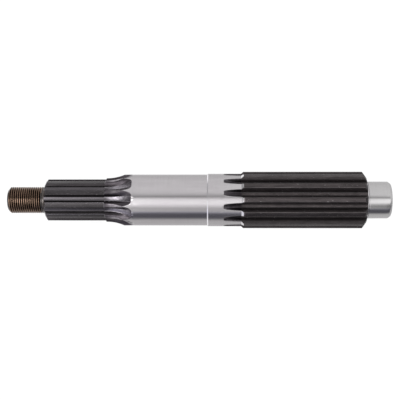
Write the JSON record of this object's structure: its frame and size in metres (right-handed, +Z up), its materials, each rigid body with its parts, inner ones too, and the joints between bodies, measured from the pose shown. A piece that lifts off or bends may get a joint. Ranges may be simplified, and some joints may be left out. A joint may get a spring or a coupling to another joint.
{
  "type": "splined shaft",
  "caption": "One-piece splined drive shaft: threaded end, small spline, ground journal, bearing seat, large spline and plain bearing stub.",
  "frame": {"origin": "on the shaft's axis, halfway along its length", "axes": "+X along the axis from the threaded end to the plain stub; +Z up as the shaft lies, with a space of the large spline straight down"},
  "size_m": [0.3624, 0.0528, 0.0528],
  "materials": {
    "steel": "ground bright on the journals and stub, dark heat-treated scale on the splines, rust-brown thread"
  },
  "bodies": {
    "root": {"shaft": "steel"}
  },
  "joints": []
}
